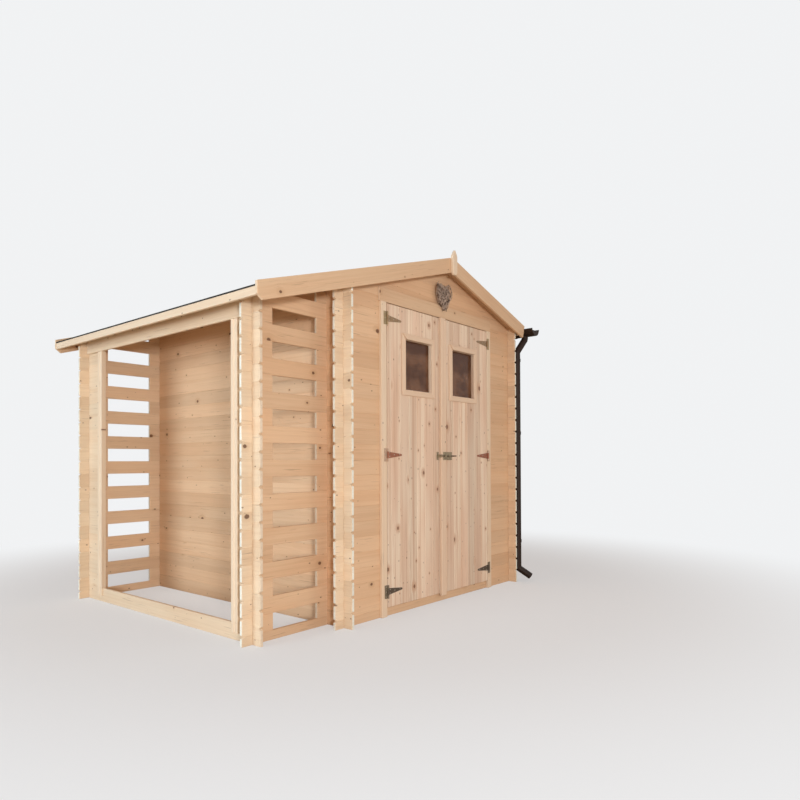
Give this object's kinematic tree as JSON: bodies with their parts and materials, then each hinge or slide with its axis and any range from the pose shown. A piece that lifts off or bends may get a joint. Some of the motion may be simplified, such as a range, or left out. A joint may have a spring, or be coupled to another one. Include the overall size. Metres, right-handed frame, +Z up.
{
  "type": "log store",
  "caption": "Garden shed of crossed horizontal boards with double doors and an open log store under the long side of its roof.",
  "frame": {"origin": "middle of the shed room's plan at ground level, on the underside of the middle floor joist", "axes": "+Z up, +X to the right along the front with the doors, +Y from the front to the rear"},
  "size_m": [2.693, 2.353, 2.3429],
  "materials": {
    "spruce_boards": "untreated sawn and planed boards",
    "spruce_trim": "untreated planed trim",
    "door_wood": "untreated planed tongued boards",
    "rough_wood": "rough sawn",
    "wicker": "dry peeled twigs",
    "window_glass": "clear pane with a dark room behind",
    "roofing_felt": "mineral roofing felt",
    "brown_plastic": "satin brown",
    "bronzed_metal": "zinc-plated, yellowed"
  },
  "bodies": {
    "shed": {"bargeboards_left": "spruce_trim", "bargeboards_right": "spruce_trim", "door_head_trim": "spruce_trim", "door_jambs": "spruce_trim", "door_threshold": "spruce_boards", "downpipe": "brown_plastic", "eave_fascias": "spruce_trim", "finials": "spruce_trim", "floor_boards": "rough_wood", "floor_joists": "rough_wood", "front_gable": "spruce_boards", "front_wall_left": "spruce_boards", "front_wall_right": "spruce_boards", "gutter": "brown_plastic", "gutter_brackets": "brown_plastic", "heart_ornament": "wicker", "hinge_plates": "bronzed_metal", "partition_wall": "spruce_boards", "pipe_clips": "brown_plastic", "purlins": "rough_wood", "rear_wall": "spruce_boards", "ridge_beam": "rough_wood", "right_wall": "spruce_boards", "roof_boards_left": "rough_wood", "roof_boards_right": "rough_wood", "roofing_felt": "roofing_felt", "store_front_boards": "spruce_boards", "store_front_stubs": "spruce_boards", "store_header": "spruce_trim", "store_jambs": "spruce_trim", "store_rear_boards": "spruce_boards", "store_rear_stubs": "spruce_boards", "store_side_rails": "spruce_boards", "store_side_stubs": "spruce_boards"},
    "left_leaf": {"door_leaf_left": "door_wood", "window_frame_left": "spruce_trim", "window_pane_left": "window_glass", "hinge_straps_left": "bronzed_metal", "bolt_keeper": "bronzed_metal"},
    "right_leaf": {"door_leaf_right": "door_wood", "window_frame_right": "spruce_trim", "window_pane_right": "window_glass", "door_cover_strip": "spruce_trim", "hinge_straps_right": "bronzed_metal", "bolt_guides": "bronzed_metal"},
    "bolt": {"bolt_rod": "bronzed_metal"}
  },
  "joints": [
    {"name": "door_left", "type": "hinge", "parent": "shed", "child": "left_leaf", "pos_m": [-0.568, -1.023, 0.975], "axis": [0, 0, -1], "range_deg": [0, 150]},
    {"name": "door_right", "type": "hinge", "parent": "shed", "child": "right_leaf", "pos_m": [0.568, -1.023, 0.975], "axis": [0, 0, 1], "range_deg": [0, 150]},
    {"name": "bolt_slide", "type": "slide", "parent": "right_leaf", "child": "bolt", "axis": [-1, 0, 0], "range_m": [0, 0.033]}
  ]
}
